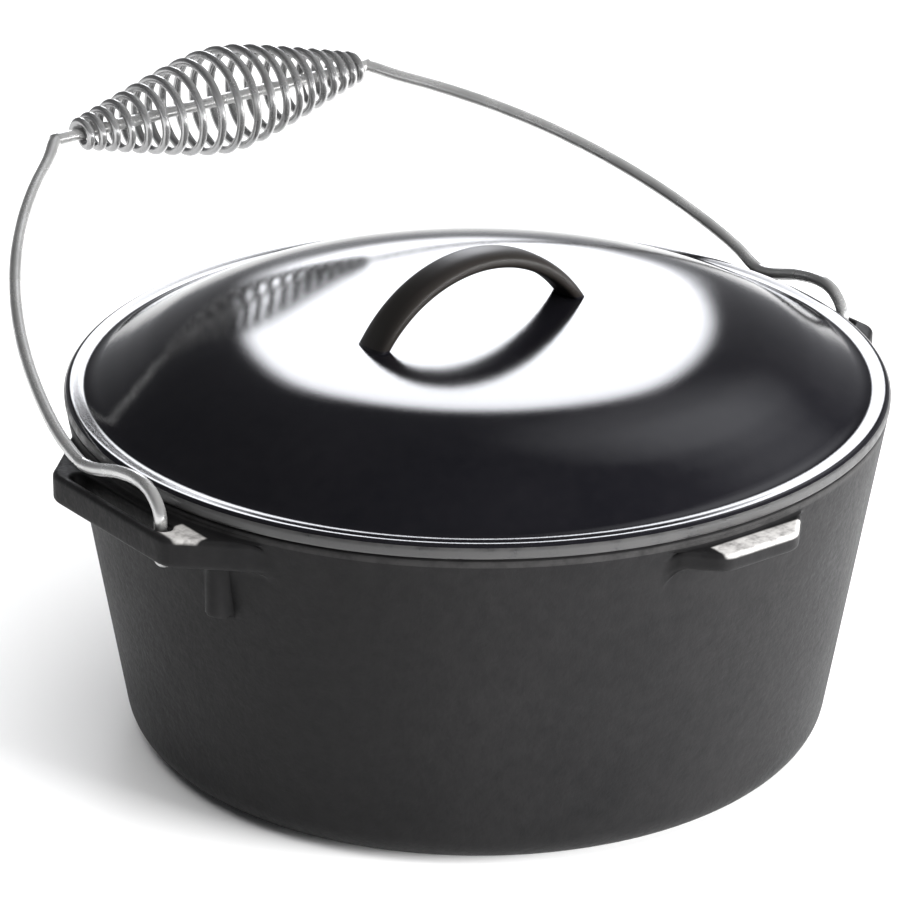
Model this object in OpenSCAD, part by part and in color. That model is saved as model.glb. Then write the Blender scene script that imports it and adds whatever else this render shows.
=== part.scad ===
// Cast iron dutch oven with a lift-off lid, a steel bail and a sprung wire grip.
// Origin: centre of the flat base. +Z up. The bail ears are on +X and -X,
// the small assist tab is on -Y, and the bail leans back over +Y at rest.

/* [Pot] */
// Outer radius of the pot at the rim
rim_r = 136.2; // [130:0.1:137]
// Height of the rim above the base
rim_z = 116.6; // [110:0.1:120]
// Outer radius where the straight wall would meet the base plane
foot_r = 116.6; // [108:0.1:122]
// Radius of the rounded corner between wall and base
base_corner = 12.5; // [8:0.5:16]
// Thickness of the cast wall
wall_t = 4.3; // [4:0.1:6]
// Thickness of the floor
floor_t = 4.8; // [4:0.1:7]

/* [Ears] */
// Distance from the pot axis to the outer edge of an ear
ear_x = 147.2; // [147:0.1:150]
// Half length of the straight outer edge of an ear
ear_half = 28; // [27:0.5:33]
// Top of the ears and of the assist tab, above the base
ear_top = 113.2; // [112.8:0.1:114]
// Underside of the ears
ear_bottom = 103.4; // [102.5:0.1:104]
// Width of the slot that the bail hook passes through
slot_w = 5.6; // [5.2:0.1:5.8]
// Length of that slot
slot_l = 54; // [53:0.5:56]
// Reach of the assist tab from the pot axis
tab_reach = 146; // [144:0.5:149]
// Half width of the straight edge of the assist tab
tab_half = 11; // [9:0.5:14]
// Thickness of the assist tab
tab_t = 6; // [4:0.5:8]
// Lower end of the ribs under the ears
rib_z = 83; // [78:0.5:90]
// Radius of the ribs under the ears
rib_r = 4.7; // [4:0.1:6]

/* [Lid] */
// Outer radius of the lid
lid_r = 136.5; // [134:0.1:138]
// Thickness of the lid casting
lid_t = 4.3; // [4:0.1:5.2]
// Clearance between the lid and the rim
lid_gap = 0.2; // [0.15:0.01:0.3]
// Depth of the locating lip inside the rim
lip_depth = 4.2; // [3:0.1:5]

/* [Lid handle] */
// Radius of the outer face of the loop
loop_r = 50.9; // [49:0.1:53]
// Height of the top of the loop above the base plane
loop_top = 165.5; // [163:0.1:168]
// Thickness of the loop bar
loop_t = 6.0; // [5:0.1:8]
// Width of the loop bar
loop_w = 13; // [11:0.5:16]
// Offset of the loop from the lid's centre, along X
loop_x = -2; // [-3:0.5:3]

/* [Bail] */
// Diameter of the bail wire
wire_d = 4.2; // [4:0.1:4.4]
// Distance from the pivot axis to the grip axis
bail_h = 165.5; // [164:0.5:167]
// Distance of the hooks from the centre plane
hook_x = 141.4; // [141.3:0.1:141.5]
// Angle that the bail leans back from upright at rest
lean = 66.7; // [65:0.1:67]

/* [Grip] */
// Diameter of the grip wire
coil_d = 2.9; // [2.4:0.1:3.0]
// Half length of the grip
coil_half = 60.5; // [56:0.5:60.5]
// Offset of the grip from the middle of the bail
coil_x = 3; // [-3:0.5:3]
// Number of turns of the grip
turns = 20; // [16:1:22]

/* [Hidden] */
$fn = 96;

// pivot axis of the bail: parallel to X, half way up the ears
piv_z = (ear_top + ear_bottom) / 2;
slope = (rim_r - foot_r) / rim_z;
alpha = atan(slope);
function out_r(z) = foot_r + slope * z;

// points of an arc about (cx, cy)
function arc(cx, cy, r, a0, a1, n = 8) =
    [for (i = [0:n]) let (a = a0 + (a1 - a0) * i / n) [cx + r * cos(a), cy + r * sin(a)]];

// centre radius of a fillet between a level line at height z0 and a wall line
function fil_c(r0, rr) = r0 - rr * (1 - sin(alpha)) / cos(alpha);

module pot_outside() {
    rotate_extrude($fn = 128)
        polygon(concat([[0, 0]],
            arc(fil_c(foot_r, base_corner), base_corner, base_corner, -90, -alpha, 7),
            arc(rim_r - 1.7, rim_z - 1.5, 1.5, -alpha, 90, 3),
            [[0, rim_z]]));
}

module pot_inside() {
    ri = out_r(floor_t) - wall_t / cos(alpha);
    rt = rim_r - wall_t / cos(alpha);
    rotate_extrude($fn = 128)
        polygon(concat([[0, floor_t]],
            arc(fil_c(ri, 10), floor_t + 10, 10, -90, -alpha, 6),
            [[rt - 1.2 * slope, rim_z - 1.2], [rt + 1.2, rim_z], [rt + 1.2, rim_z + 10], [0, rim_z + 10]]));
}

// plan of one ear, with cut corners that run back into the wall
module ear_plan() {
    c = arc(ear_x - 9, ear_half, 9, 53, 0, 5);
    polygon(concat([[118, -56], [124.5, -53.5]],
        [for (i = [0:len(c) - 1]) [c[i][0], -c[i][1]]],
        [for (i = [0:len(c) - 1]) c[len(c) - 1 - i]],
        [[124.5, 53.5], [118, 56]]));
}

// stadium shaped slot, centred on the hook plane
module slot_cut() {
    r = slot_w / 2;
    translate([hook_x, 0, ear_bottom - 5]) {
        translate([-r, -(slot_l / 2 - r), 0]) cube([slot_w, slot_l - slot_w, 20]);
        for (s = [-1, 1]) translate([0, s * (slot_l / 2 - r), 0]) cylinder(r = r, h = 20, $fn = 32);
    }
}

module ear() {
    difference() {
        translate([0, 0, ear_bottom]) linear_extrude(ear_top - ear_bottom) ear_plan();
        slot_cut();
    }
}

module rib() {
    translate([out_r(92) * cos(14.9), -out_r(92) * sin(14.9), rib_z])
        cylinder(r = rib_r, h = ear_bottom + 2 - rib_z, $fn = 48);
}

module tab() {
    c = arc(tab_half, -tab_reach + 7, 7, -90, -38, 4);
    translate([0, 0, ear_top - tab_t]) linear_extrude(tab_t)
        polygon(concat([[-28, -118], [-27, -132]],
            [for (i = [len(c) - 1:-1:0]) [-c[i][0], c[i][1]]], c,
            [[27, -132], [28, -118]]));
}

module pot() {
    color([0.10, 0.10, 0.105])
    difference() {
        union() {
            pot_outside();
            for (s = [0, 1]) mirror([s, 0, 0]) { ear(); rib(); }
            tab();
        }
        pot_inside();
    }
}

// dome height of the lid above the base plane, as a function of radius
dome = [[0, 141.5], [24, 141.4], [48, 141.1], [66, 140.6], [78, 139.8], [89, 138.0],
    [98, 135.8], [107, 132.6], [114, 129.2], [120, 125.9], [124.5, 123.6], [127.5, 122.5], [131, 121.7]];

module lid_shell() {
    z0 = rim_z + lid_gap;
    rotate_extrude($fn = 128)
        difference() {
            polygon(concat(dome,
                arc(lid_r - 2.2, 119.4, 2.2, 90, 0, 3),
                [[lid_r - 0.3, z0], [129.9, z0], [129.7, z0 - lip_depth], [126.4, z0 - lip_depth],
                 [0, z0 - lip_depth]]));
            polygon(concat([[-1, z0 - lip_depth - 1], [125.6, z0 - lip_depth - 1], [124.6, z0]],
                [for (i = [len(dome) - 3:-1:1]) [dome[i][0] - (i > 6 ? lid_t * 0.65 : lid_t * 0.3),
                    dome[i][1] - lid_t * (i > 6 ? 0.86 : 0.98)]],
                [[-1, dome[0][1] - lid_t]]));
        }
}

// loop handle: an upright bar along X, bent to an arc and run down into the dome
module loop() {
    base = 136.5;
    ri = loop_r - 3;
    translate([loop_x, loop_w / 2, 0]) rotate([90, 0, 0]) linear_extrude(loop_w)
        difference() {
            translate([0, loop_top - loop_r]) circle(r = loop_r, $fn = 128);
            translate([0, loop_top - loop_t - ri]) circle(r = ri, $fn = 128);
            translate([-60, base - 200]) square([120, 200]);
        }
}

module lid() {
    color([0.07, 0.07, 0.08])
    union() {
        lid_shell();
        difference() {
            loop();
            // nothing of the loop shows inside the dome
            rotate_extrude($fn = 128)
                polygon([[0, 130], [70, 130], [70, 137.2], [40, 139], [0, 139.4]]);
        }
    }
}

// ---- swept wires ----
function vsub(a, b) = a - b;
function unit(v) = v / norm(v);

// frames carried along the path without twist
function tang(P, i) = unit(P[min(i + 1, len(P) - 1)] - P[max(i - 1, 0)]);
function first_n(t) = unit(cross(t, abs(t[0]) < 0.9 ? [1, 0, 0] : [0, 1, 0]));
function normals(P) = [for (i = 0, n = first_n(tang(P, 0)); i < len(P); i = i + 1,
    n = i < len(P) ? unit(n - tang(P, i) * (n * tang(P, i))) : n) n];

module tube(P, r, k) {
    N = normals(P);
    ring = [for (i = [0:len(P) - 1]) let (t = tang(P, i), n = N[i], b = cross(t, n))
        for (j = [0:k - 1]) let (a = 360 * j / k) P[i] + r * (n * cos(a) + b * sin(a))];
    m = len(P);
    polyhedron(ring, concat(
        [for (i = [0:m - 2]) for (j = [0:k - 1])
            [i * k + j, (i + 1) * k + j, (i + 1) * k + (j + 1) % k, i * k + (j + 1) % k]],
        [[for (j = [0:k - 1]) j]],
        [[for (j = [k - 1:-1:0]) (m - 1) * k + j]]), convexity = 10);
}

// half of the bail in its own plane: u across, v out from the pivot, w towards
// the front of that plane. The big arc of the arm is centred on (arm_u, arm_v).
arm_u = -43.7;
arm_v = 11.4;
arm_r = 187;
hook = [[32.6, 0], [29.4, 0], [26.3, 0.3], [23.9, 0.8], [21.9, 1.8], [19.8, 3], [17.2, 4.8], [14.8, 6.7],
        [12.4, 8.7], [10, 10.7], [7.6, 12.6], [5, 14.4], [2.5, 16], [-0.1, 17.5], [-2.7, 18.7], [-5.2, 19.6],
        [-7.7, 20], [-9.9, 20], [-11.9, 19.5], [-13.9, 18.7], [-15.6, 17.6], [-16.9, 16.4], [-17.8, 15],
        [-18.9, 12.2], [-20.1, 8.3], [-21.2, 5]];
half_path = concat(
    [[0, bail_h, 0], [30, bail_h, 0], [64.2, bail_h, 0], [65.6, bail_h - 0.3, 0], [67.1, bail_h - 1.3, 0],
     [68.8, bail_h - 3, 0], [71.6, bail_h - 6.2, 0]],
    [for (a = [50.2:-2.87:10]) [arm_u + arm_r * cos(a), arm_v + arm_r * sin(a), 0]],
    [[141.3, 37, 0]],
    [for (h = hook) [hook_x, h[0], h[1]]],
    [[hook_x - 0.1, -21.8, 2.9], [hook_x - 0.9, -22.2, 1.1], [hook_x - 2.4, -22.3, 0.2],
     [hook_x - 5.2, -22.3, 0]]);
full_path = concat([for (i = [len(half_path) - 1:-1:1]) [-half_path[i][0], half_path[i][1], half_path[i][2]]],
    half_path);
function to_rest(p) = [p[0], p[1] * sin(lean) - p[2] * cos(lean),
    piv_z + p[1] * cos(lean) + p[2] * sin(lean)];

module bail() {
    color([0.78, 0.78, 0.80])
        tube([for (p = full_path) to_rest(p)], wire_d / 2, 12);
}

// centre radius of the grip wire along its length, s from -1 to 1
function coil_r(s) = 20.95 - sqrt(pow(16.5 * s, 2) + 11.6);
// the turns are closer together towards the ends, u from -1 to 1
function spread(u) = 1.21 * u - 0.21 * u * u * u;
per_turn = 16;

module coil_grip() {
    c = to_rest([coil_x, bail_h, 0]);
    half = coil_half - coil_d / 2;
    color([0.80, 0.80, 0.82])
        tube([for (i = [0:turns * per_turn]) let (s = spread(2 * i / (turns * per_turn) - 1), a = 360 * i / per_turn)
            c + [s * half, coil_r(s) * cos(a), coil_r(s) * sin(a)]], coil_d / 2, 8);
}

pot();
lid();
bail();
coil_grip();
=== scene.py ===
import math
import bpy
import bmesh
import numpy as np
from mathutils import Matrix, Vector


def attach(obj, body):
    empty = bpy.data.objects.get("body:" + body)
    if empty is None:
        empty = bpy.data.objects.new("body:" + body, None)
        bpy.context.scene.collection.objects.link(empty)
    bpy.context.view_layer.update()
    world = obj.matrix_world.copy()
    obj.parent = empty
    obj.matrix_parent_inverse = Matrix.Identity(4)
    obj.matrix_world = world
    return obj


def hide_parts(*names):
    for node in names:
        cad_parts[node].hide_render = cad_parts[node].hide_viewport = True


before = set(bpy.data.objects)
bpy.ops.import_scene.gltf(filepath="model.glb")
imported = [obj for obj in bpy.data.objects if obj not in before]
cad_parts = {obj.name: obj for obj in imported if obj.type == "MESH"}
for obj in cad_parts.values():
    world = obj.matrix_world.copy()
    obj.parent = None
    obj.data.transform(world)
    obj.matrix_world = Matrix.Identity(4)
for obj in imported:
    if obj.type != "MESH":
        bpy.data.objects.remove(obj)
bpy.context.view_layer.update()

MM = 0.001
scene = bpy.context.scene
scene.view_settings.view_transform = "Standard"
scene.view_settings.look = "None"


# ------------------------------------------------------------------ helpers
def smooth(a, b, x):
    t = np.clip((np.asarray(x, float) - a) / (b - a), 0, 1)
    return t * t * (3 - 2 * t)


def smax(a, b, k):
    """Largest of a and b, with a soft corner about k wide."""
    return 0.5 * (a + b + np.sqrt((a - b) ** 2 + k * k))


def arc(cx, cy, r, a0, a1, n):
    return [(cx + r * math.cos(math.radians(a0 + (a1 - a0) * i / n)),
             cy + r * math.sin(math.radians(a0 + (a1 - a0) * i / n))) for i in range(n + 1)]


def catmull(P, k):
    """Smooth curve through the points P, k steps per span."""
    P = np.asarray(P, float)
    Q = np.vstack([2 * P[0] - P[1], P, 2 * P[-1] - P[-2]])
    out = []
    for i in range(1, len(Q) - 2):
        p0, p1, p2, p3 = Q[i - 1:i + 3]
        for j in range(k):
            t = j / k
            out.append(0.5 * ((2 * p1) + (p2 - p0) * t + (2 * p0 - 5 * p1 + 4 * p2 - p3) * t * t
                              + (3 * p1 - p0 - 3 * p2 + p3) * t ** 3))
    out.append(P[-1])
    return np.array(out)


def make(name, verts, faces, smooth_shade=True):
    me = bpy.data.meshes.new(name)
    me.from_pydata([tuple(float(c) * MM for c in v) for v in verts], [], faces)
    me.validate()
    me.update()
    ob = bpy.data.objects.new(name, me)
    scene.collection.objects.link(ob)
    if smooth_shade:
        me.polygons.foreach_set("use_smooth", [True] * len(me.polygons))
    return ob


def grid_faces(n_rows, n_cols, closed_cols=True, flip=False):
    f = []
    m = n_cols if closed_cols else n_cols - 1
    for i in range(n_rows - 1):
        for j in range(m):
            a, b = i * n_cols + j, i * n_cols + (j + 1) % n_cols
            c, d = (i + 1) * n_cols + (j + 1) % n_cols, (i + 1) * n_cols + j
            f.append((a, d, c, b) if flip else (a, b, c, d))
    return f


def fix_normals(ob):
    bm = bmesh.new()
    bm.from_mesh(ob.data)
    bmesh.ops.recalc_face_normals(bm, faces=bm.faces)
    bm.to_mesh(ob.data)
    bm.free()
    ob.data.polygons.foreach_set("use_smooth", [True] * len(ob.data.polygons))
    ob.data.update()


def apply_mods(ob):
    bpy.context.view_layer.update()
    dg = bpy.context.evaluated_depsgraph_get()
    me = bpy.data.meshes.new_from_object(ob.evaluated_get(dg))
    ob.modifiers.clear()
    ob.data = me


def boolean(ob, other, op):
    m = ob.modifiers.new("b", "BOOLEAN")
    m.operation, m.object, m.solver = op, other, "EXACT"
    apply_mods(ob)
    bpy.data.objects.remove(other)


def sharpen(ob, deg=38.0):
    """Marks the creases, so that shading is not smeared across them."""
    bm = bmesh.new()
    bm.from_mesh(ob.data)
    lim = math.radians(deg)
    for e in bm.edges:
        if len(e.link_faces) == 2 and e.calc_face_angle(0.0) > lim:
            e.smooth = False
    bm.to_mesh(ob.data)
    bm.free()


def tube(P, radius, sides, caps=True, tip=0.0):
    """Mesh tube about the path P, with a frame that doesn't twist."""
    P = np.asarray(P, float)
    n = len(P)
    T = np.empty_like(P)
    T[1:-1] = P[2:] - P[:-2]
    T[0], T[-1] = P[1] - P[0], P[-1] - P[-2]
    T /= np.linalg.norm(T, axis=1)[:, None]
    ref = np.array([1.0, 0, 0]) if abs(T[0][0]) < 0.9 else np.array([0, 1.0, 0])
    N = np.cross(T[0], ref)
    N /= np.linalg.norm(N)
    rad = np.full(n, float(radius)) if np.isscalar(radius) else np.asarray(radius, float)
    V = []
    for i in range(n):
        N = N - T[i] * N.dot(T[i])
        N /= np.linalg.norm(N)
        B = np.cross(T[i], N)
        for j in range(sides):
            a = 2 * math.pi * j / sides
            V.append(P[i] + rad[i] * (math.cos(a) * N + math.sin(a) * B))
    F = grid_faces(n, sides)
    rings = n
    if caps:
        for end, at in ((0, -1), (n - 1, 1)):
            base = end * sides
            c = len(V)
            inner = []
            for j in range(sides):
                q = P[end] + (V[base + j] - P[end]) * 0.72 + T[end] * at * rad[end] * 0.28
                V.append(q)
                inner.append(c + j)
            for j in range(sides):
                k = (j + 1) % sides
                F.append((base + j, base + k, inner[k], inner[j]) if at > 0
                         else (base + k, base + j, inner[j], inner[k]))
            V.append(P[end] + T[end] * at * rad[end] * 0.36)
            top = len(V) - 1
            for j in range(sides):
                k = (j + 1) % sides
                F.append((inner[j], inner[k], top) if at > 0 else (inner[k], inner[j], top))
    return V, F


# ------------------------------------------------------------------ camera
# position and axes in the row frame; the ears lie 37.4 degrees off the view
al = math.radians(37.4)
ex = np.array([math.cos(al), math.sin(al), 0])
ey = np.array([-math.sin(al), math.cos(al), 0])
xc, D, el, yaw, roll, foc, dp = (-4.7705, 1600.0, 0.419794, -0.0029007, 0.0033786, 4786.4, -0.0080062)


def to_row(v):
    return Vector((float(v @ ex), float(v @ ey), float(v[2])))


pos = np.array([xc, -D * math.cos(el), 80 + D * math.sin(el)])
pit = el + dp
fw = np.array([math.sin(yaw) * math.cos(pit), math.cos(yaw) * math.cos(pit), -math.sin(pit)])
rt = np.array([math.cos(yaw), -math.sin(yaw), 0])
up = np.cross(rt, fw)
r2 = rt * math.cos(roll) + up * math.sin(roll)
u2 = -rt * math.sin(roll) + up * math.cos(roll)
cam_data = bpy.data.cameras.new("camera")
cam_data.sensor_width = 36.0
cam_data.lens = foc * 36.0 / 900.0
cam_data.clip_start, cam_data.clip_end = 0.05, 60.0
cam = bpy.data.objects.new("camera", cam_data)
scene.collection.objects.link(cam)
mat = Matrix.Identity(4)
for k, v in enumerate((to_row(r2), to_row(u2), -to_row(fw))):
    for i in range(3):
        mat[i][k] = v[i]
p = to_row(pos) * MM
for i in range(3):
    mat[i][3] = p[i]
cam.matrix_world = mat
scene.camera = cam
view_dir = to_row(fw)
back = Vector((view_dir.x, view_dir.y, 0)).normalized()      # away from the camera, level
right = Vector((back.y, -back.x, 0))

# ------------------------------------------------------------------ dimensions, as in the CAD
rim_r, rim_z, foot_r, base_corner = 136.2, 116.6, 116.6, 12.5
wall_t, floor_t = 4.3, 4.8
ear_x, ear_half, ear_top, ear_bottom = 147.2, 28.0, 113.2, 103.4
slot_w, slot_l, hook_x = 5.6, 54.0, 141.4
tab_reach, tab_half, tab_t = 146.0, 11.0, 6.0
piv_z = (ear_top + ear_bottom) / 2
slope = (rim_r - foot_r) / rim_z
alpha = math.degrees(math.atan(slope))
sa, ca = math.sin(math.radians(alpha)), math.cos(math.radians(alpha))


def out_r(z):
    return foot_r + slope * z


def fil_c(r0, rr):
    return r0 - rr * (1 - sa) / ca


# ------------------------------------------------------------------ pot
def ear_outline():
    """Plan of an ear on +X, from -Y to +Y, as x and y points."""
    pts = [(118.0, -56.0), (124.5, -53.5)]
    c = arc(ear_x - 9, ear_half, 9, 53, 0, 10)
    pts += [(x, -y) for x, y in c] + [(x, y) for x, y in reversed(c)]
    pts += [(124.5, 53.5), (118.0, 56.0)]
    return pts


def tab_outline():
    c = arc(tab_half, -tab_reach + 7, 7, -90, -38, 10)
    pts = [(-28.0, -118.0), (-27.0, -132.0)] + [(-x, y) for x, y in reversed(c)] + c
    return pts + [(27.0, -132.0), (28.0, -118.0)]


def polar_reach(pts, mid):
    """Distance from the axis to an outline, as a function of angle about mid."""
    d = []
    for i in range(len(pts) - 1):
        (x0, y0), (x1, y1) = pts[i], pts[i + 1]
        for k in range(24):
            t = k / 24
            x, y = x0 + (x1 - x0) * t, y0 + (y1 - y0) * t
            a = (math.degrees(math.atan2(y, x)) - mid + 180) % 360 - 180
            d.append((a, math.hypot(x, y)))
    d.sort()
    A, R = np.array(d).T
    return lambda th: np.interp((np.asarray(th) - mid + 180) % 360 - 180, A, R, left=0, right=0)


ear_f = polar_reach(ear_outline(), 0)
tab_f = polar_reach(tab_outline(), -90)


def reach(th):
    """How far anything stands out from the wall at each angle, in mm, softly rounded."""
    th = np.asarray(th, float)
    w = out_r(108.3)
    e = np.maximum.reduce([ear_f(th), ear_f(180 - th), tab_f(th)]) - w
    return 0.5 * (np.maximum(e, -30) + np.sqrt(np.maximum(e, -30) ** 2 + 2.4 ** 2)) * smooth(-9, -2, e)


def rib_out(th, z):
    """Radius of the half round ribs under the ears, 0 where there is none."""
    rc, rr = out_r(92), 4.7
    best = np.zeros(np.broadcast(th, z).shape)
    for mid in (-14.9, 194.9):
        d = np.radians((th - mid + 180) % 360 - 180)
        s = rr * rr - (rc * np.sin(d)) ** 2
        r = np.where((s > 0) & (np.abs(d) < 0.2), rc * np.cos(d) + np.sqrt(np.maximum(s, 0)), 0)
        best = np.maximum(best, r)
    return best


def angles():
    a = []
    th = -180.0
    while th < 180.0 - 1e-6:
        a.append(th)
        near_ear = min(abs(th), 180 - abs(th)) < 27
        near_tab = abs(th + 90) < 19
        th += 0.5 if near_ear or near_tab else 1.5
    return np.array(a)


def build_pot():
    th = angles()
    nc = len(th)
    e = reach(th)
    rows = []
    # underside and base corner
    for r in (30, 60, 85, 99):
        rows.append((np.full(nc, r), np.zeros(nc)))
    for r, z in arc(fil_c(foot_r, base_corner), base_corner, base_corner, -90, -alpha, 12):
        rows.append((np.full(nc, r), np.full(nc, z)))
    # wall, with the ribs
    zs = list(np.linspace(14.5, 77, 23)) + [79, 80.5, 81.6, 82.2, 82.6, 82.9, 83.2, 83.6, 84.2, 85.2, 87, 89, 91.5, 94, 96.5]
    for z in zs:
        rows.append((wall_rib(th, z), np.full(nc, z)))
    # flange: ears and tab
    w = smooth(0.15, 3.2, e)
    rf = 3.2 * w
    re = 1.7 * w
    near_tab = np.abs((th + 90 + 180) % 360 - 180) < 24
    lo = np.where(near_tab, ear_top - tab_t, ear_bottom)
    hi = ear_top
    R = out_r(108.3) + e
    prof = []
    for a in np.linspace(180, 90, 7):
        ar = math.radians(a)
        rw = np.where(near_tab, out_r(ear_top - tab_t - 3.2), wall_rib(th, ear_bottom - 3.2))
        prof.append((rw + rf + rf * math.cos(ar), lo - rf + rf * math.sin(ar)))
    r_in = prof[-1][0]
    for t in np.linspace(0, 1, 7)[1:-1]:
        prof.append((r_in + (np.maximum(R - re, r_in) - r_in) * t, lo + 0.0 * th))
    for a in np.linspace(-90, 0, 6):
        ar = math.radians(a)
        prof.append((np.maximum(R - re + re * math.cos(ar), r_in), lo + re + re * math.sin(ar)))
    for t in (0.25, 0.5, 0.75):
        prof.append((R, lo + re + (hi - re - lo - re) * t))
    for a in np.linspace(0, 90, 6):
        ar = math.radians(a)
        prof.append((R - re + re * math.cos(ar), hi - re + re * math.sin(ar)))
    r_top = out_r(hi)
    rft = 1.7 * w
    for t in np.linspace(0, 1, 7)[1:-1]:
        prof.append((R - re + (r_top + rft - (R - re)) * t, np.full(nc, hi)))
    for a in np.linspace(270, 180, 6):
        ar = math.radians(a)
        prof.append((r_top + rft + rft * math.cos(ar) + 0.25 * rft * slope, hi + rft + rft * math.sin(ar)))
    m = len(prof)
    z_even = np.linspace(98.2, 114.7, m)
    for i, (r, z) in enumerate(prof):
        rw = wall_rib(th, z_even[i])
        rows.append((rw + (r - rw) * w, z_even[i] + (z - z_even[i]) * w))
    # rim and inside
    for r, z in arc(rim_r - 1.75, rim_z - 1.5, 1.5, 0, 90, 6):
        rows.append((np.full(nc, r), np.full(nc, z)))
    rt_in = rim_r - wall_t / ca
    for r, z in arc(rt_in + 1.3, rim_z - 1.3, 1.3, 90, 180, 6):
        rows.append((np.full(nc, r), np.full(nc, z)))
    ri = out_r(floor_t) - wall_t / ca
    c_in = arc(fil_c(ri, 10), floor_t + 10, 10, -alpha, -90, 12)
    z_in = np.linspace(rim_z - 3, c_in[0][1] + 1.5, 30)
    for z in z_in:
        rows.append((np.full(nc, out_r(z) - wall_t / ca), np.full(nc, z)))
    for r, z in c_in:
        rows.append((np.full(nc, r), np.full(nc, z)))
    for r in (92, 75, 55, 30):
        rows.append((np.full(nc, r), np.full(nc, floor_t)))
    c, s = np.cos(np.radians(th)), np.sin(np.radians(th))
    V = [(0, 0, 0)]
    for r, z in rows:
        V += list(zip(r * c, r * s, z))
    V.append((0, 0, floor_t))
    n = len(rows)
    F = [tuple(i + 1 for i in f) for f in grid_faces(n, nc)]
    F += [(0, 1 + (j + 1) % nc, 1 + j) for j in range(nc)]
    last = 1 + (n - 1) * nc
    F += [(len(V) - 1, last + j, last + (j + 1) % nc) for j in range(nc)]
    ob = make("pot_casting", V, F)
    fix_normals(ob)
    for sgn in (-1, 1):
        boolean(ob, slot_cutter(sgn), "DIFFERENCE")
    return ob


def wall_rib(th, z):
    base = out_r(z)
    step = float(smooth(82.1, 83.9, z))
    rib = rib_out(th, z)
    h = np.maximum(rib - base, 0) * step
    e = np.where(rib > 0, h, 0)
    return base + e


def slot_cutter(sgn):
    """Stadium cutter whose mouths flare, so that the slot's edges come out rounded."""
    V, rows = [], []
    fr = 1.1
    zz = [ear_bottom - 6]
    fl = [fr * 1.0]
    for k in range(7):
        a = math.pi / 2 * k / 6
        zz.append(ear_bottom - 0.02 + fr * math.sin(a))
        fl.append(fr * (1 - math.sin(a)) * 1.0 if k else fr)
    prof = [(ear_bottom - 6, fr), (ear_bottom - 0.05, fr)]
    prof += [(ear_bottom + fr * (1 - math.cos(a)), fr * (1 - math.sin(a))) for a in np.linspace(0.12, math.pi / 2, 6)]
    prof += [(ear_top - fr * (1 - math.cos(a)), fr * (1 - math.sin(a))) for a in np.linspace(math.pi / 2, 0.12, 6)]
    prof += [(ear_top + 0.05, fr), (ear_top + 6, fr)]
    k = 14
    for z, f in prof:
        r = slot_w / 2 + f
        h = slot_l / 2 - slot_w / 2
        for i in range(k + 1):
            a = math.pi * i / k
            V.append((sgn * hook_x + r * math.cos(a), h + r * math.sin(a), z))
        for i in range(k + 1):
            a = math.pi + math.pi * i / k
            V.append((sgn * hook_x + r * math.cos(a), -h + r * math.sin(a), z))
    n = 2 * (k + 1)
    F = grid_faces(len(prof), n)
    F += [tuple(range(n - 1, -1, -1)), tuple(range((len(prof) - 1) * n, len(prof) * n))]
    ob = make("slot_cutter", V, F)
    fix_normals(ob)
    return ob


# ------------------------------------------------------------------ lid
DOME = [(0, 141.5), (24, 141.4), (48, 141.1), (66, 140.6), (78, 139.8), (89, 138.0), (98, 135.8),
        (107, 132.6), (114, 129.2), (120, 125.9), (124.5, 123.4), (127.5, 121.75), (130.4, 121.12)]
lid_r, lid_t, lid_z = 136.5, 4.3, rim_z + 0.2
lip_depth = 4.2


def dome_z(r):
    P = np.array([(-24.0, 141.4)] + [tuple(map(float, q)) for q in DOME] + [(134.3, 121.62)])
    Q = catmull(P, 12)
    return np.interp(r, Q[:, 0], Q[:, 1])


def build_lid():
    nc = 288
    rows = []
    for r in list(np.linspace(6, 84, 22)) + list(np.linspace(87, 133.4, 36)):
        rows.append((r, float(dome_z(r))))
    rows += [(r, z) for r, z in arc(lid_r - 2.2, 119.35, 2.2, 84, 0, 9)]
    rows += [(lid_r, 118.6), (lid_r - 0.05, 117.7)]
    rows += arc(lid_r - 0.95, lid_z + 0.8, 0.8, 0, -90, 5)
    rows += [(133.8, lid_z), (131.9, lid_z)]
    rows += arc(130.5, lid_z - 0.6, 0.6, 90, 180, 4)
    rows += [(129.85, lid_z - 2), (129.75, lid_z - 3.2)]
    rows += arc(128.7, lid_z - lip_depth + 1.0, 1.0, 0, -90, 4)
    rows += arc(127.3, lid_z - lip_depth + 1.0, 1.0, -90, -180, 4)
    z1 = lid_z - 2.0
    rows += [(126.0, z1)]
    rr = np.linspace(124.2, 8, 52)
    for r in rr:
        # constant thickness measured square to the dome
        d = 0.5
        g = (dome_z(r + d) - dome_z(r - d)) / (2 * d)
        rows.append((float(r), float(dome_z(r + 1.2 * max(0, -g) * lid_t * 0.55) - lid_t * math.sqrt(1 + g * g) * (1 - 0.35 * min(1, -g)))))
    th = np.radians((np.arange(nc) + 0.37) * 360.0 / nc)
    c, s = np.cos(th), np.sin(th)
    V = [(0, 0, float(dome_z(0)))]
    for r, z in rows:
        V += list(zip(r * c, r * s, np.full(nc, z)))
    V.append((0, 0, float(dome_z(0)) - lid_t))
    n = len(rows)
    F = [tuple(i + 1 for i in f) for f in grid_faces(n, nc)]
    F += [(0, 1 + (j + 1) % nc, 1 + j) for j in range(nc)]
    last = 1 + (n - 1) * nc
    F += [(len(V) - 1, last + j, last + (j + 1) % nc) for j in range(nc)]
    ob = make("lid_casting", V, F)
    fix_normals(ob)
    return ob


loop_r, loop_top, loop_t, loop_w, loop_x = 50.9, 165.5, 6.0, 13.0, -2.0


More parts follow.
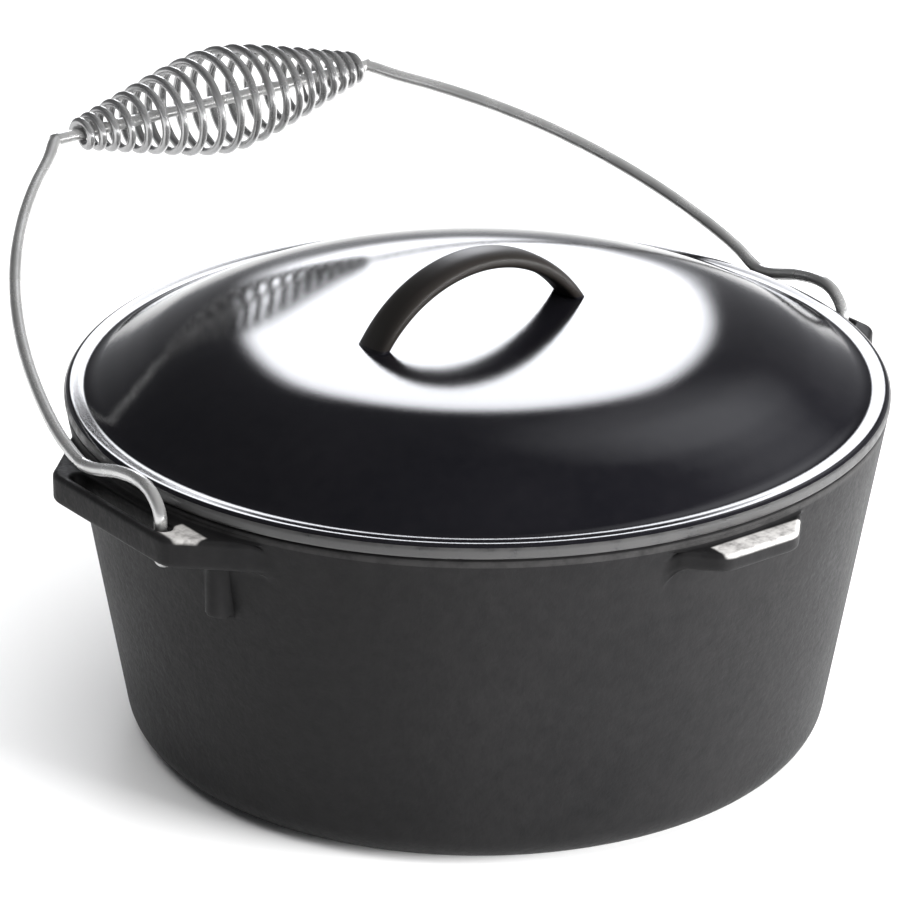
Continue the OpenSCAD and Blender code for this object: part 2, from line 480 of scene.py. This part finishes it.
def build_loop():
    """The loop handle: a bar bent to an arc and run down into the dome, rounded all round."""
    ri = loop_r - 3
    co, ci = loop_top - loop_r, loop_top - loop_t - ri
    base = 137.6
    n, k = 121, 44
    V = []
    ao_end = math.acos((base - co) / loop_r)
    ai_end = math.acos((base - ci) / ri)
    for i in range(n):
        t = -1 + 2 * i / (n - 1)
        ao, ai = t * ao_end, t * ai_end
        o = np.array([loop_r * math.sin(ao), co + loop_r * math.cos(ao)])
        q = np.array([ri * math.sin(ai), ci + ri * math.cos(ai)])
        mid, half = (o + q) / 2, np.linalg.norm(o - q) / 2
        ax = (o - q) / (2 * half)
        # the bar flares a little where it runs into the dome
        fl = 0.15 * math.exp(-max(0.0, mid[1] - 140.9) / 1.4)
        wy = loop_w / 2 + 0.6 * fl
        half += 0.5 * fl
        for j in range(k):
            f = 2 * math.pi * j / k
            cu, su = math.cos(f), math.sin(f)
            e = 2.5 if cu > 0 else 3.4
            m = (abs(cu) ** e + abs(su) ** e) ** (-1 / e)
            u, v = half * cu * m, wy * su * m
            V.append((loop_x + mid[0] + ax[0] * u, v, mid[1] + ax[1] * u))
    F = grid_faces(n, k)
    F += [tuple(range(k)), tuple(range((n - 1) * k, n * k))]
    ob = make("loop", V, F)
    fix_normals(ob)
    return ob


# ------------------------------------------------------------------ bail and grip
bail_h, lean, coil_x, coil_half = 165.5, math.radians(66.7), 3.0, 60.5
arm_u, arm_v, arm_r = -43.7, 11.4, 187.0
HOOK = [(32.6, 0), (29.4, 0), (26.3, 0.3), (23.9, 0.8), (21.9, 1.8), (19.8, 3), (17.2, 4.8), (14.8, 6.7),
        (12.4, 8.7), (10, 10.7), (7.6, 12.6), (5, 14.4), (2.5, 16), (-0.1, 17.5), (-2.7, 18.7), (-5.2, 19.6),
        (-7.7, 20), (-9.9, 20), (-11.9, 19.5), (-13.9, 18.7), (-15.6, 17.6), (-16.9, 16.4), (-17.8, 15),
        (-18.9, 12.2), (-20.1, 8.3), (-21.2, 5)]


def to_rest(q):
    q = np.asarray(q, float)
    return np.stack([q[..., 0], q[..., 1] * math.sin(lean) - q[..., 2] * math.cos(lean),
                     piv_z + q[..., 1] * math.cos(lean) + q[..., 2] * math.sin(lean)], -1)


def bail_path():
    half = [(0, bail_h, 0), (30, bail_h, 0), (64.2, bail_h, 0), (65.6, bail_h - 0.3, 0), (67.1, bail_h - 1.3, 0),
            (68.8, bail_h - 3, 0), (71.6, bail_h - 6.2, 0)]
    a = 50.2
    while a >= 10 - 1e-9:
        half.append((arm_u + arm_r * math.cos(math.radians(a)), arm_v + arm_r * math.sin(math.radians(a)), 0))
        a -= 2.87
    half.append((141.3, 37, 0))
    half += [(hook_x, v, w) for v, w in HOOK]
    half += [(hook_x - 0.1, -21.8, 2.9), (hook_x - 0.9, -22.2, 1.1), (hook_x - 2.4, -22.3, 0.2), (hook_x - 5.2, -22.3, 0)]
    full = [(-u, v, w) for u, v, w in reversed(half[1:])] + half
    return to_rest(catmull(full, 4))


def build_bail():
    V, F = tube(bail_path(), 2.1, 20)
    ob = make("bail_wire", V, F)
    fix_normals(ob)
    return ob


def coil_r(s):
    return 20.95 - np.sqrt((16.5 * s) ** 2 + 11.6)


def build_grip():
    turns, per = 20, 48
    c = to_rest((coil_x, bail_h, 0))
    i = np.arange(turns * per + 1)
    u = 2 * i / (turns * per) - 1
    s = 1.21 * u - 0.21 * u ** 3
    a = 2 * math.pi * i / per
    P = np.stack([s * (coil_half - 1.45), coil_r(s) * np.cos(a), coil_r(s) * np.sin(a)], -1) + c
    V, F = tube(P, 1.45, 12)
    ob = make("grip_coil", V, F)
    fix_normals(ob)
    return ob


# ------------------------------------------------------------------ materials
def nodes_of(name):
    m = bpy.data.materials.new(name)
    m.use_nodes = True
    nt = m.node_tree
    nt.nodes.clear()
    out = nt.nodes.new("ShaderNodeOutputMaterial")
    b = nt.nodes.new("ShaderNodeBsdfPrincipled")
    nt.links.new(b.outputs[0], out.inputs[0])
    return m, nt, b


def noise(nt, co, scale, detail=3.0, rough=0.55, dist=0.0):
    n = nt.nodes.new("ShaderNodeTexNoise")
    n.inputs["Scale"].default_value = scale
    n.inputs["Detail"].default_value = detail
    n.inputs["Roughness"].default_value = rough
    n.inputs["Distortion"].default_value = dist
    nt.links.new(co, n.inputs["Vector"])
    return n.outputs["Fac"]


def ramp(nt, fac, stops):
    r = nt.nodes.new("ShaderNodeValToRGB")
    e = r.color_ramp.elements
    while len(e) < len(stops):
        e.new(0.5)
    for k, (p, c) in enumerate(stops):
        e[k].position = p
        e[k].color = (c, c, c, 1) if not isinstance(c, tuple) else (*c, 1)
    nt.links.new(fac, r.inputs[0])
    return r.outputs[0]


def math_node(nt, op, a, b):
    n = nt.nodes.new("ShaderNodeMath")
    n.operation = op
    for k, v in enumerate((a, b)):
        if isinstance(v, (int, float)):
            n.inputs[k].default_value = v
        else:
            nt.links.new(v, n.inputs[k])
    return n.outputs[0]


def bump(nt, height, dist, strength, normal=None):
    b = nt.nodes.new("ShaderNodeBump")
    b.inputs["Strength"].default_value = strength
    b.inputs["Distance"].default_value = dist
    nt.links.new(height, b.inputs["Height"])
    if normal is not None:
        nt.links.new(normal, b.inputs["Normal"])
    return b.outputs["Normal"]


def box_mask(nt, co, lo, hi, soft):
    """1 inside the box lo..hi of the piece's own coordinates, falling to 0 over `soft` outside it."""
    sp = nt.nodes.new("ShaderNodeSeparateXYZ")
    nt.links.new(co, sp.inputs[0])
    out = None
    for ax, a, b in zip("XYZ", lo, hi):
        for edge, sgn in ((a, 1), (b, -1)):
            if edge is None:
                continue
            m = nt.nodes.new("ShaderNodeMapRange")
            m.interpolation_type = "SMOOTHSTEP"
            m.inputs["From Min"].default_value = edge - sgn * soft
            m.inputs["From Max"].default_value = edge
            nt.links.new(sp.outputs[ax], m.inputs["Value"])
            out = m.outputs[0] if out is None else math_node(nt, "MULTIPLY", out, m.outputs[0])
    return out


def mix_col(nt, fac, a, b):
    m = nt.nodes.new("ShaderNodeMix")
    m.data_type = "RGBA"
    nt.links.new(fac, m.inputs["Factor"])
    for name, v in (("A", a), ("B", b)):
        sock = next(q for q in m.inputs if q.name == name and q.type == "RGBA")
        if isinstance(v, tuple):
            sock.default_value = (*v, 1)
        else:
            nt.links.new(v, sock)
    return next(q for q in m.outputs if q.type == "RGBA")


def cast_iron(name, dark, light, rough_lo, rough_hi, pebble, spec, fine=0.5, zones_and_painted_highlights=None, grain=620.0, lumps=0.35):
    """Seasoned cast iron: pebbly skin, mottled sheen; the patch list gives zones their own colour and roughness:
    lighter rim and lid edge rings, the brownish handle, and painted highlights that lighten the tab top and an ear
    tip.
    """
    m, nt, b = nodes_of(name)
    tc = nt.nodes.new("ShaderNodeTexCoord")
    co = tc.outputs["Object"]
    peb = noise(nt, co, grain, 4.0, 0.6)
    mid = noise(nt, co, 210.0, 3.0, 0.5)
    big = noise(nt, co, 16.0, 3.0, 0.55)
    geo = nt.nodes.new("ShaderNodeNewGeometry")
    edge = ramp(nt, geo.outputs["Pointiness"], [(0.50, 0.0), (0.56, 1.0)])
    col_f = math_node(nt, "ADD", math_node(nt, "MULTIPLY", big, 0.6), math_node(nt, "MULTIPLY", mid, 0.4))
    col_f = math_node(nt, "ADD", col_f, math_node(nt, "MULTIPLY", edge, 0.25))
    c = ramp(nt, col_f, [(0.32, dark), (0.75, light)])
    rgh = ramp(nt, math_node(nt, "ADD", math_node(nt, "MULTIPLY", big, 0.5), math_node(nt, "MULTIPLY", peb, 0.5)),
               [(0.35, rough_lo), (0.65, rough_hi)])
    for kind, col, r2, args in zones_and_painted_highlights or ():
        if kind in ("box", "part"):
            fac = box_mask(nt, co, *args)
        else:                                              # a ring: radius and height limits
            r0, z0, z1 = args
            sp = nt.nodes.new("ShaderNodeSeparateXYZ")
            nt.links.new(co, sp.inputs[0])
            rad = math_node(nt, "SQRT", math_node(nt, "ADD", math_node(nt, "MULTIPLY", sp.outputs["X"], sp.outputs["X"]),
                                                  math_node(nt, "MULTIPLY", sp.outputs["Y"], sp.outputs["Y"])), 0.0)
            fac = math_node(nt, "MULTIPLY", math_node(nt, "GREATER_THAN", rad, r0),
                            math_node(nt, "MULTIPLY", math_node(nt, "GREATER_THAN", sp.outputs["Z"], z0),
                                      math_node(nt, "LESS_THAN", sp.outputs["Z"], z1)))
        # noise breakup of the patches, which also makes the painted highlights on the tab and ear patchy
        patch_and_highlight_breakup = ramp(nt, math_node(nt, "ADD", math_node(nt, "MULTIPLY", mid, 0.6), math_node(nt, "MULTIPLY", peb, 0.4)),
                    [(0.34, 0.35), (0.56, 1.0)])
        if kind != "part":
            fac = math_node(nt, "MULTIPLY", fac, patch_and_highlight_breakup)
        c = mix_col(nt, fac, c, col)
        rgh = math_node(nt, "ADD", math_node(nt, "MULTIPLY", rgh, math_node(nt, "SUBTRACT", 1.0, fac)),
                        math_node(nt, "MULTIPLY", fac, r2))
    nt.links.new(c, b.inputs["Base Color"])
    nt.links.new(rgh, b.inputs["Roughness"])
    n1 = bump(nt, mid, 0.0006 * pebble, lumps)
    n2 = bump(nt, peb, 0.00022 * pebble, fine, n1)
    nt.links.new(n2, b.inputs["Normal"])
    b.inputs["Metallic"].default_value = 0.0
    b.inputs["IOR"].default_value = 1.6
    b.inputs["Specular IOR Level"].default_value = spec
    return m


def wire_mat(name, base, rough, metal):
    m, nt, b = nodes_of(name)
    tc = nt.nodes.new("ShaderNodeTexCoord")
    co = tc.outputs["Object"]
    fine = noise(nt, co, 900.0, 2.0, 0.5)
    big = noise(nt, co, 60.0, 3.0, 0.6)
    c = ramp(nt, big, [(0.35, tuple(x * 0.78 for x in base)), (0.62, base)])
    nt.links.new(c, b.inputs["Base Color"])
    r = ramp(nt, big, [(0.3, rough + 0.08), (0.7, rough - 0.05)])
    nt.links.new(r, b.inputs["Roughness"])
    nt.links.new(bump(nt, fine, 0.00005, 0.35), b.inputs["Normal"])
    b.inputs["Metallic"].default_value = metal
    return m


pot_mat = cast_iron("pot_iron", (0.0058, 0.0058, 0.0061), (0.0118, 0.0115, 0.0118), 0.42, 0.58, 1.0, 0.08, 0.5, [
    # painted highlight: the tab's top face made light grey, standing in for light falling on it
    ("box", (0.42, 0.41, 0.40), 0.45, ((-0.014, None, 0.1127), (0.030, -0.1385, 0.1135), 0.0012)),
    # painted highlight: a light grey patch on the -X ear's tip, standing in for light falling on it
    ("box", (0.36, 0.35, 0.34), 0.45, ((-0.1440, -0.0385, 0.1127), (-0.1362, -0.0262, 0.1135), 0.0012)),
    ("ring", (0.024, 0.0235, 0.0235), 0.60, (0.1357, 0.1138, 0.1163))])
lid_mat = cast_iron("lid_iron", (0.003, 0.003, 0.0042), (0.006, 0.0057, 0.007), 0.06, 0.11, 0.11, 0.5, 0.7, [
    ("ring", (0.036, 0.0355, 0.0355), 0.62, (0.1360, 0.1165, 0.1207)),
    ("part", (0.009, 0.0078, 0.007), 0.44, ((None, None, 0.1424), (None, None, None), 0.0008))],
    grain=1500.0, lumps=0.10)
wire = wire_mat("bail_steel", (0.56, 0.56, 0.555), 0.26, 0.8)
coil_m = wire_mat("grip_steel", (0.42, 0.42, 0.42), 0.24, 0.85)

# ------------------------------------------------------------------ build
pot = build_pot()
lid = build_lid()
loop = build_loop()
boolean(lid, loop, "UNION")
bail = build_bail()
grip = build_grip()
for ob, m, body, node, slot in ((pot, pot_mat, "pot", "pot", "pot_iron"), (lid, lid_mat, "lid", "lid", "lid_iron"),
                                (bail, wire, "bail", "bail", "bail_wire"),
                                (grip, coil_m, "coil_grip", "coil_grip", "grip_wire")):
    ob.data.materials.clear()
    ob.data.materials.append(m)
    ob.data.polygons.foreach_set("use_smooth", [True] * len(ob.data.polygons))
    if node in ("pot", "lid"):
        sharpen(ob)
    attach(ob, body)
    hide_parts(node)

# ------------------------------------------------------------------ stage and light
bpy.ops.mesh.primitive_plane_add(size=24, location=(0, 0, -0.0004))
floor = bpy.context.object
floor.name = "floor"
fm, fnt, fb = nodes_of("floor_white")
fb.inputs["Base Color"].default_value = (0.93, 0.93, 0.93, 1)
fb.inputs["Roughness"].default_value = 0.85
fb.inputs["Specular IOR Level"].default_value = 0.1
floor.data.materials.append(fm)

world = bpy.data.worlds.new("studio")
scene.world = world
world.use_nodes = True
wt = world.node_tree
wt.nodes.clear()
wo = wt.nodes.new("ShaderNodeOutputWorld")
bg = wt.nodes.new("ShaderNodeBackground")
wt.links.new(bg.outputs[0], wo.inputs[0])
tc = wt.nodes.new("ShaderNodeTexCoord")
sep = wt.nodes.new("ShaderNodeSeparateXYZ")
wt.links.new(tc.outputs["Generated"], sep.inputs[0])
elev = ramp(wt, sep.outputs["Z"], [(0.10, 0.03), (0.25, 1.0), (0.505, 1.0), (0.565, 0.0)])
dot = wt.nodes.new("ShaderNodeVectorMath")
dot.operation = "DOT_PRODUCT"
wt.links.new(tc.outputs["Generated"], dot.inputs[0])
dot.inputs[1].default_value = (right.x, right.y, 0)
side = ramp(wt, math_node(wt, "ADD", dot.outputs["Value"], 0.5),
            [(0.355, 0.0), (0.405, 1.0), (0.60, 1.0), (0.65, 0.0)])
behind = wt.nodes.new("ShaderNodeVectorMath")
behind.operation = "DOT_PRODUCT"
wt.links.new(tc.outputs["Generated"], behind.inputs[0])
behind.inputs[1].default_value = (back.x, back.y, 0)
rear = ramp(wt, behind.outputs["Value"], [(0.30, 0.0), (0.60, 1.0)])
panel = math_node(wt, "MULTIPLY", math_node(wt, "MULTIPLY", elev, side), rear)
glow_dir = (back * math.cos(math.radians(28)) + right * math.sin(math.radians(28))) * math.cos(math.radians(44)) \
    + Vector((0, 0, math.sin(math.radians(44))))
gd = wt.nodes.new("ShaderNodeVectorMath")
gd.operation = "DOT_PRODUCT"
wt.links.new(tc.outputs["Generated"], gd.inputs[0])
gd.inputs[1].default_value = tuple(glow_dir)
glow = ramp(wt, gd.outputs["Value"], [(0.945, 0.0), (0.98, 0.55), (0.998, 1.0)])
low = ramp(wt, sep.outputs["Z"], [(0.0, 1.0), (0.10, 0.6), (0.45, 0.12), (1.0, 0.12)])
st = math_node(wt, "ADD", math_node(wt, "MULTIPLY", panel, 8.0), math_node(wt, "MULTIPLY", low, 0.5))
st = math_node(wt, "ADD", st, math_node(wt, "MULTIPLY", glow, 0.8))
wt.links.new(st, bg.inputs["Strength"])
bg.inputs["Color"].default_value = (0.94, 0.953, 1.0, 1)


def area(name, at, to, size, power, glossy=True, color=(1, 1, 1)):
    d = bpy.data.lights.new(name, "AREA")
    d.shape = "RECTANGLE"
    d.size, d.size_y = size
    d.energy = power
    d.color = color
    o = bpy.data.objects.new(name, d)
    o.location = at
    o.rotation_euler = (Vector(to) - Vector(at)).to_track_quat("-Z", "Y").to_euler()
    scene.collection.objects.link(o)
    o.visible_glossy = glossy
    o.visible_camera = False
    return o


sky = bpy.data.lights.new("overhead", "SUN")           # a wide soft light straight above, even over the floor
sky.energy = 3.5
sky.angle = 1.3
top = bpy.data.objects.new("overhead", sky)
top.location = (0, 0, 2.6)
scene.collection.objects.link(top)
top.visible_glossy = False
top.visible_camera = False
key_at = right * 2.1 - back * 0.85 + Vector((0, 0, 0.46))
area("key_right", key_at, (0, 0, 0.06), (1.6, 0.8), 270, glossy=False)
